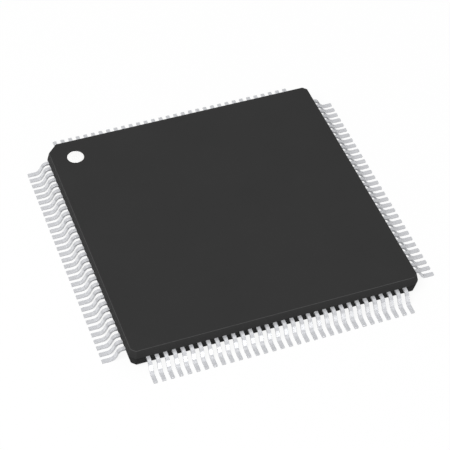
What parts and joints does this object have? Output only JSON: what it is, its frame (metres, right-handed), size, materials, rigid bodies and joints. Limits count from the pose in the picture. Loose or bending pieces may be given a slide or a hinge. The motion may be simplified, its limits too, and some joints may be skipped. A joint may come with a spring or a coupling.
{
  "type": "quad flat pack chip",
  "caption": "Thin square surface-mount chip: black moulded body, gull-wing leads on all four sides, white dot at the chamfered pin 1 corner.",
  "frame": {"origin": "middle of the seating plane, under the soles of the feet", "axes": "+Z out of the marked top face; +X along the row of leads that starts with lead 33; pin 1 at the -X, +Y corner, counted anticlockwise from above"},
  "size_m": [0.0162, 0.0162, 0.001],
  "materials": {
    "mould_compound": "black silica-filled epoxy, fine matt moulded texture",
    "tinned_leads": "matt tin plating on copper alloy",
    "white_ink": "matt white marking ink",
    "frame_copper": "bare copper alloy strip",
    "silver_epoxy": "silver-filled epoxy",
    "silicon": "polished silicon",
    "bond_gold": "drawn gold wire"
  },
  "bodies": {
    "root": {"mould_body": "mould_compound", "pin_1_dot": "white_ink", "die_pad": "frame_copper", "die_attach": "silver_epoxy", "die": "silicon", "leads_001_004": "tinned_leads", "leads_005_008": "tinned_leads", "leads_009_012": "tinned_leads", "leads_013_016": "tinned_leads", "leads_017_020": "tinned_leads", "leads_021_024": "tinned_leads", "leads_025_028": "tinned_leads", "leads_029_032": "tinned_leads", "leads_033_036": "tinned_leads", "leads_037_040": "tinned_leads", "leads_041_044": "tinned_leads", "leads_045_048": "tinned_leads", "leads_049_052": "tinned_leads", "leads_053_056": "tinned_leads", "leads_057_060": "tinned_leads", "leads_061_064": "tinned_leads", "leads_065_068": "tinned_leads", "leads_069_072": "tinned_leads", "leads_073_076": "tinned_leads", "leads_077_080": "tinned_leads", "leads_081_084": "tinned_leads", "leads_085_088": "tinned_leads", "leads_089_092": "tinned_leads", "leads_093_096": "tinned_leads", "leads_097_100": "tinned_leads", "leads_101_104": "tinned_leads", "leads_105_108": "tinned_leads", "leads_109_112": "tinned_leads", "leads_113_116": "tinned_leads", "leads_117_120": "tinned_leads", "leads_121_124": "tinned_leads", "leads_125_128": "tinned_leads", "bond_wires_001_008": "bond_gold", "bond_wires_009_016": "bond_gold", "bond_wires_017_024": "bond_gold", "bond_wires_025_032": "bond_gold", "bond_wires_033_040": "bond_gold", "bond_wires_041_048": "bond_gold", "bond_wires_049_056": "bond_gold", "bond_wires_057_064": "bond_gold", "bond_wires_065_072": "bond_gold", "bond_wires_073_080": "bond_gold", "bond_wires_081_088": "bond_gold", "bond_wires_089_096": "bond_gold", "bond_wires_097_104": "bond_gold", "bond_wires_105_112": "bond_gold", "bond_wires_113_120": "bond_gold", "bond_wires_121_128": "bond_gold"}
  },
  "joints": []
}
